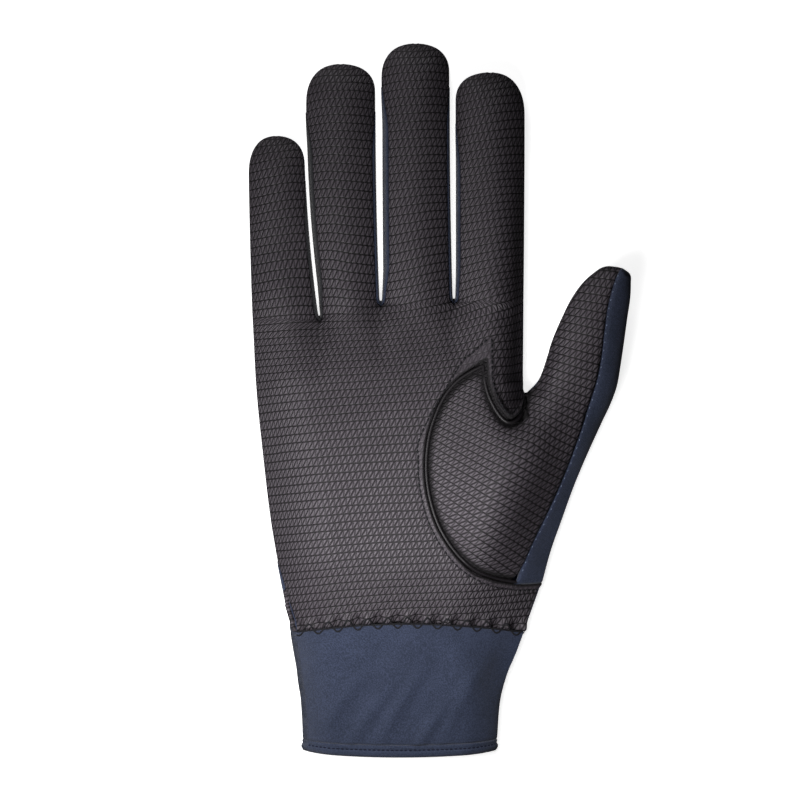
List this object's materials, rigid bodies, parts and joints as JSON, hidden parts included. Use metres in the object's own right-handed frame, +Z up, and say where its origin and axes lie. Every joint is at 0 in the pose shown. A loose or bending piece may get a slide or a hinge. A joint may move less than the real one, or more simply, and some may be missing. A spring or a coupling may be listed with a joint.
{
  "type": "horse riding glove",
  "caption": "Right-hand riding glove with an embossed grip-leather palm, set-in thumb, stretch-fabric back and strips between the fingers, and a close sewn-on cuff.",
  "frame": {"origin": "middle of the glove's bounding box, on the surface that it lies on", "axes": "+Y towards the fingertips, +X towards the thumb, +Z up out of the palm; the glove lies on its back"},
  "size_m": [0.1272, 0.2374, 0.0259],
  "materials": {
    "grip_leather": "embossed, soft sheen",
    "welt_leather": "smooth, matt",
    "stretch_fabric": "fine woven stretch, matt",
    "black_fabric": "fine woven stretch, matt"
  },
  "bodies": {
    "root": {"palm_leather": "grip_leather", "thumb_leather": "grip_leather", "thumb_welt": "welt_leather", "back_fabric": "stretch_fabric", "thumb_back": "stretch_fabric", "cuff_fabric": "stretch_fabric", "cuff_hem": "stretch_fabric", "fourchette_ring_middle": "stretch_fabric", "fourchette_middle_index": "stretch_fabric", "fourchette_pinky_ring": "black_fabric"}
  },
  "joints": []
}
